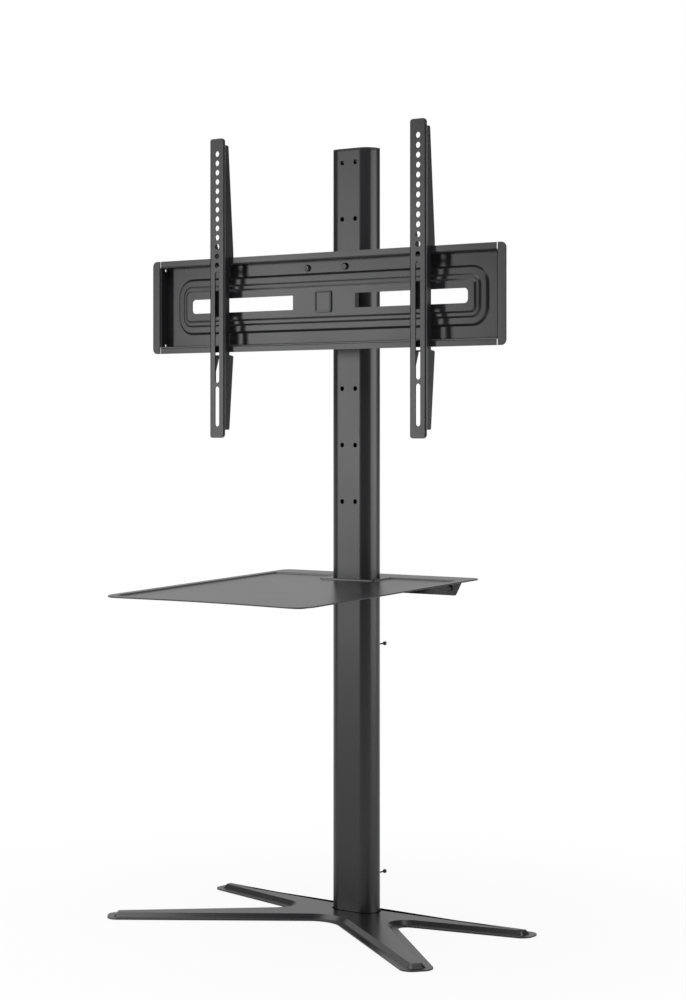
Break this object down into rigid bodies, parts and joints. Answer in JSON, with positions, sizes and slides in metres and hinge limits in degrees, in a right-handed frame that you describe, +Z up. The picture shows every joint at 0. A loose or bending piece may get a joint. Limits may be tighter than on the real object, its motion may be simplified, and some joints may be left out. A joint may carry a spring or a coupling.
{
  "type": "tv floor stand",
  "caption": "Free-standing floor stand for a flat screen: low X-shaped base, upright post, pressed crossbar with sliding hooked arms, and an equipment shelf.",
  "frame": {"origin": "on the floor, under the centre of the part's footprint box; the post's axis stands 145 mm behind it", "axes": "+Z up, -Y the side the screen hangs on, +X to the right of a viewer who faces the screen"},
  "size_m": [0.662, 0.4402, 1.1807],
  "materials": {
    "black_powder_coat": "satin black powder coat on pressed steel",
    "dark_steel": "flat black paint on plain steel",
    "black_oxide_fastener": "black oxide",
    "black_plastic": "fine grain moulded",
    "foot_rubber": "matte"
  },
  "bodies": {
    "stand": {"base_shell": "black_powder_coat", "base_stiffener": "dark_steel", "base_bolt_1": "black_oxide_fastener", "base_bolt_2": "black_oxide_fastener", "base_bolt_3": "black_oxide_fastener", "base_bolt_4": "black_oxide_fastener", "foot_pad_front_left": "foot_rubber", "foot_pad_front_right": "foot_rubber", "foot_pad_rear_left": "foot_rubber", "foot_pad_rear_right": "foot_rubber", "post_tube": "black_powder_coat", "post_cap": "black_plastic", "post_foot_block": "dark_steel", "mount_adapter": "black_powder_coat", "adapter_bolt_1": "black_oxide_fastener", "adapter_bolt_2": "black_oxide_fastener", "adapter_bolt_3": "black_oxide_fastener", "adapter_bolt_4": "black_oxide_fastener", "nut_bar_upper": "dark_steel", "nut_bar_lower": "dark_steel", "crossbar": "black_powder_coat", "crossbar_badge": "black_powder_coat", "crossbar_screw_left": "black_oxide_fastener", "crossbar_screw_right": "black_oxide_fastener", "shelf_plate": "black_powder_coat", "shelf_bracket": "black_powder_coat", "shelf_screw_left": "black_oxide_fastener", "shelf_screw_right": "black_oxide_fastener", "shelf_bolt_lower": "black_oxide_fastener", "shelf_nut_lower": "black_oxide_fastener", "shelf_bolt_upper": "black_oxide_fastener", "shelf_nut_upper": "black_oxide_fastener", "peg_plug_upper": "black_plastic", "cable_peg_upper": "black_oxide_fastener", "peg_plug_lower": "black_plastic", "cable_peg_lower": "black_oxide_fastener"},
    "arm_left": {"arm_left": "black_powder_coat", "arm_bridge_left": "black_powder_coat", "latch_pin_left": "black_oxide_fastener"},
    "arm_right": {"arm_right": "black_powder_coat", "arm_bridge_right": "black_powder_coat", "latch_pin_right": "black_oxide_fastener"},
    "latch_left": {"arm_latch_left": "dark_steel"},
    "latch_right": {"arm_latch_right": "dark_steel"}
  },
  "joints": [
    {"name": "arm_left_slide", "type": "slide", "parent": "stand", "child": "arm_left", "axis": [-1, 0, 0], "range_m": [-0.1387, 0.1113]},
    {"name": "arm_right_slide", "type": "slide", "parent": "stand", "child": "arm_right", "axis": [1, 0, 0], "range_m": [-0.1387, 0.1113]},
    {"name": "latch_left_slide", "type": "slide", "parent": "arm_left", "child": "latch_left", "axis": [0, 0, 1], "range_m": [-0.008, 0]},
    {"name": "latch_right_slide", "type": "slide", "parent": "arm_right", "child": "latch_right", "axis": [0, 0, 1], "range_m": [-0.008, 0]}
  ]
}
